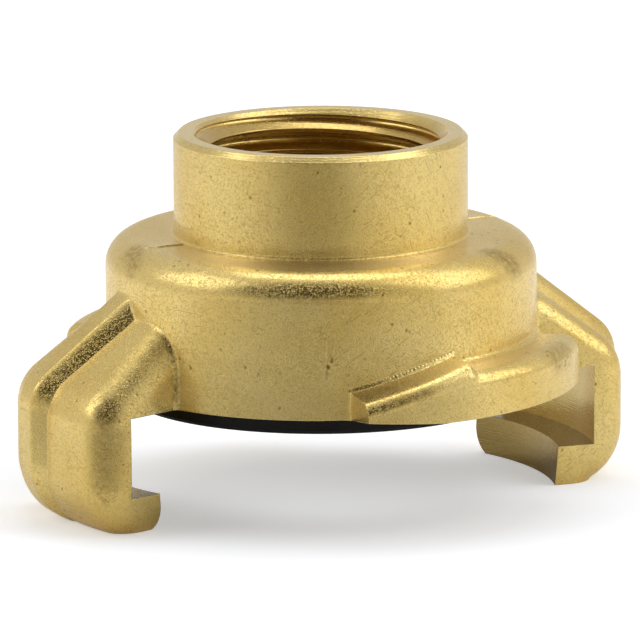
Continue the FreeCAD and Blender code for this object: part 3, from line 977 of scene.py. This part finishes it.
# The band's way, in degrees from the camera's.
BAND_TURN = -4.0
floor = mesh_piece("floor", [(-FLOOR_REACH, -FLOOR_REACH, 0), (FLOOR_REACH, -FLOOR_REACH, 0),
                             (FLOOR_REACH, FLOOR_REACH, 0), (-FLOOR_REACH, FLOOR_REACH, 0)],
                   [[0, 1, 2, 3]])
floor_paint, floor_tree, floor_shader, floor_place = start_material("pale floor")
floor_shader.inputs["Roughness"].default_value = 0.9
floor_shader.inputs["Specular IOR Level"].default_value = 0.0
ray = floor_tree.nodes.new("ShaderNodeLightPath").outputs


def along(turn):
    """Distance of a place on the floor from the axis, measured along a direction."""
    return vector_node(floor_tree, "DOT_PRODUCT", floor_place, "Value", i1=direction_at(turn, 0.0))


def fade(value, limits):
    """0 at the first limit, 1 at the second, and smooth between."""
    return smooth(floor_tree, value, *limits)


out = vector_node(floor_tree, "LENGTH", floor_place, "Value")
ring = product(floor_tree, fade(out, RING_INNER), fade(out, RING_OUTER))
aside = math_node(floor_tree, "ABSOLUTE", along(BAND_TURN + 90.0))
# For glossy rays only: painted shade in the band between the camera and the object.
shaded = product(floor_tree, fade(along(BAND_TURN), BAND_START), fade(aside, BAND_SIDES),
                 one_minus(floor_tree, ring, RING_LIGHTER), ray["Is Glossy Ray"])
floor_tree.links.new(mix_colour(floor_tree, shaded, FLOOR_GREY, FLOOR_SHADE),
                     floor_shader.inputs["Base Color"])
# Glow that only the metal sees: a painted shadow under the object and a painted pale ring round it.
mirrored = product(floor_tree, ray["Is Glossy Ray"], GLOSSY_SHARE, fade(out, GLOW_START),
                   weighted_sum(floor_tree, ((ring, RING_SHARE),), 1.0),
                   one_minus(floor_tree, shaded))
seen = math_node(floor_tree, "MAXIMUM", ray["Is Camera Ray"],
                 math_node(floor_tree, "MAXIMUM", mirrored, ray["Is Transmission Ray"]))
floor_shader.inputs["Emission Color"].default_value = WHITE
floor_tree.links.new(product(floor_tree, seen, FLOOR_GLOW),
                     floor_shader.inputs["Emission Strength"])
floor.data.materials.append(floor_paint)

# %% [markdown]
# ### Tent and dark room
# The surround is a smooth function of direction: an even tent, paler towards the floor, with a
# dark opening over the camera. The camera itself sees plain white behind the object.

# %% Surround
TENT_TINT = (0.60, 0.60, 0.60, 1.0)
ROOM_TINT = (0.028, 0.020, 0.010, 1.0)
HORIZON_TINT = (0.90, 0.88, 0.84, 1.0)
HORIZON_SHARE = 0.45
# Heights of a unit direction between which the paler horizon comes in.
HORIZON_TOP, HORIZON_FOOT = 0.34, 0.06
# The dark room: turn and lift of its middle, and its full and its outermost reach in degrees.
ROOM = (-8.0, 35.5, 26.0, 49.0)
world = bpy.data.worlds.new("studio")
scene.world = world
world.use_nodes = True
sky = world.node_tree
background = sky.nodes["Background"]
direction = sky.nodes.new("ShaderNodeTexCoord").outputs["Generated"]


def cone(turn, lift, inner, outer):
    """1 within inner degrees of a direction, 0 beyond outer degrees, and smooth between."""
    cosine = vector_node(sky, "DOT_PRODUCT", direction, "Value", i1=direction_at(turn, lift))
    return smooth(sky, cosine, math.cos(math.radians(outer)), math.cos(math.radians(inner)))


tent = mix_colour(sky, cone(*ROOM), TENT_TINT, ROOM_TINT)
rise = node(sky, "ShaderNodeSeparateXYZ", None, Vector=direction).outputs[2]
horizon = smooth(sky, rise, HORIZON_TOP, HORIZON_FOOT, top=HORIZON_SHARE)
tent = mix_colour(sky, horizon, tent, HORIZON_TINT)
sky_ray = sky.nodes.new("ShaderNodeLightPath").outputs
sky.links.new(mix_colour(sky, sky_ray["Is Camera Ray"], tent, WHITE), background.inputs["Color"])
background.inputs["Strength"].default_value = 1.0

# %% [markdown]
# ### Soft panels
# A panel's power is worked out from the brightness that it should show in the metal, so that its
# size can be changed without a change of level.

# %% Lamps
PANEL_DISTANCE = 0.9
PANEL_TINT = (0.96, 1.0, 1.10)
PANEL_AIM = Vector((0.0, 0.0, 0.015))
# Watts for each square metre that make a panel as bright as a level of 1.
WATTS_PER_LEVEL = 4.0
# Name, turn and lift of the middle in degrees, width and height in metres, and level.
PANELS = (("panel_right", 87.0, 39.0, 0.67, 0.82, 1.00),
          ("panel_left", -82.0, 40.0, 0.60, 0.62, 1.02),
          ("panel_top", 167.0, 77.0, 0.66, 0.40, 1.65))


def softbox(name, turn, lift, width, height, level):
    """Area lamp aimed at the object; level is its radiance, and a white wall's would be 1."""
    data = bpy.data.lights.new(name, "AREA")
    data.shape = "RECTANGLE"
    data.size, data.size_y = width, height
    data.energy = WATTS_PER_LEVEL * width * height * level
    data.color = PANEL_TINT
    lamp = bpy.data.objects.new(name, data)
    scene.collection.objects.link(lamp)
    toward = direction_at(turn, lift)
    lamp.location = PANEL_AIM + toward * PANEL_DISTANCE
    lamp.rotation_mode = "QUATERNION"
    lamp.rotation_quaternion = (-toward).to_track_quat("-Z", "Y")


for panel in PANELS:
    softbox(*panel)
print("panels:", [panel[0] for panel in PANELS])

# %% [markdown]
# ### Camera
# Turn, lift, distance, lens and a quarter of a degree of roll come from laying the outline of the
# CAD body over the photograph until the two differed least.

# %% Camera
CAMERA_ROLL = -0.25
CAMERA_DISTANCE = 0.6552
AIM_HEIGHT = 14.61 * MM
LENS = 439.66
SENSOR_WIDTH = 36.0
PHOTO_SIDE = 640
SHIFT_X = -1.28 / PHOTO_SIDE
SHIFT_Y = 0.96 / PHOTO_SIDE
camera_data = bpy.data.cameras.new("camera")
camera = bpy.data.objects.new("camera", camera_data)
scene.collection.objects.link(camera)
scene.camera = camera
camera_back = direction_at(0.0, CAMERA_ELEVATION)
camera.location = Vector((0.0, 0.0, AIM_HEIGHT)) + camera_back * CAMERA_DISTANCE
camera.rotation_mode = "QUATERNION"
camera.rotation_quaternion = (Quaternion(camera_back, math.radians(CAMERA_ROLL))
                              @ (-camera_back).to_track_quat("-Z", "Y"))
camera_data.sensor_width = SENSOR_WIDTH
camera_data.lens = LENS
camera_data.shift_x = SHIFT_X
camera_data.shift_y = SHIFT_Y
camera_data.clip_start, camera_data.clip_end = 0.01, 10.0
